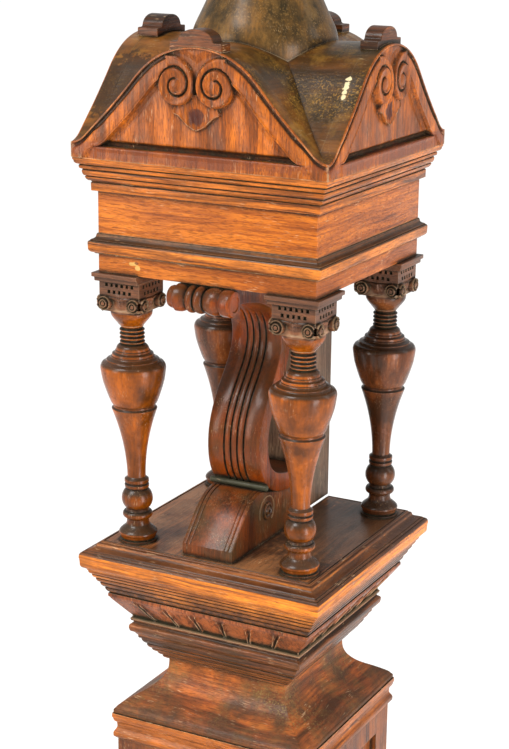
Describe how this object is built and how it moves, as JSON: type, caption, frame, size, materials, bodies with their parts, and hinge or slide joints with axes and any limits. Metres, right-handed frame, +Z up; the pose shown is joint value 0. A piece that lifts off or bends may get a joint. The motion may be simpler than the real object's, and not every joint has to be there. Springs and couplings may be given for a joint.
{
  "type": "newel post",
  "caption": "Square panelled newel post with a flared neck, a moulded platform, an open gallery of vase balusters round a scroll bracket, and a four-gabled canopy with a bell-shaped finial",
  "frame": {"origin": "centre of the plinth where it stands on the floor", "axes": "+Z up the post, -Y towards the front, where the scroll bracket and the wedge foot face, +X to the right of someone facing the front"},
  "size_m": [0.306, 0.306, 1.68],
  "materials": {
    "oak_shaft": "satin, worn varnish over oiled oak",
    "oak_turned": "glossy old varnish, dark in the turnings",
    "oak_carved": "satin varnish, dark in the grooves",
    "oak_bead": "matt, filled with grey dust",
    "oak_post": "matt, thinly stained",
    "oak_roof": "satin, dark varnish flecked with gold",
    "oak_dark": "satin varnish, dark in the corners",
    "oak_moulding": "satin varnish, rubbed pale on the edges",
    "oak_platform": "satin varnish, the deck dark and dusty",
    "oak_gable": "satin varnish over open-grained oak",
    "oak_case": "satin varnish, bright orange-brown"
  },
  "bodies": {
    "root": {"plinth": "oak_shaft", "base_moulding": "oak_shaft", "shaft_frame": "oak_shaft", "shaft_panel_front": "oak_shaft", "shaft_panel_right": "oak_shaft", "shaft_panel_back": "oak_shaft", "shaft_panel_left": "oak_shaft", "shaft_cap_moulding": "oak_moulding", "skirt": "oak_moulding", "bed_moulding": "oak_moulding", "leaf_band": "oak_moulding", "platform": "oak_platform", "baluster_front_left": "oak_turned", "baluster_front_right": "oak_turned", "baluster_back_right": "oak_turned", "baluster_back_left": "oak_turned", "scroll_console": "oak_carved", "scroll_foot": "oak_carved", "scroll_rod": "oak_bead", "centre_post": "oak_post", "canopy_box": "oak_case", "belt_moulding": "oak_case", "cornice": "oak_case", "pediment_front": "oak_gable", "pediment_right": "oak_gable", "pediment_back": "oak_gable", "pediment_left": "oak_gable", "crest_front": "oak_dark", "crest_right": "oak_dark", "crest_back": "oak_dark", "crest_left": "oak_dark", "roof": "oak_roof", "finial_bell": "oak_roof", "finial_knob": "oak_dark"}
  },
  "joints": []
}
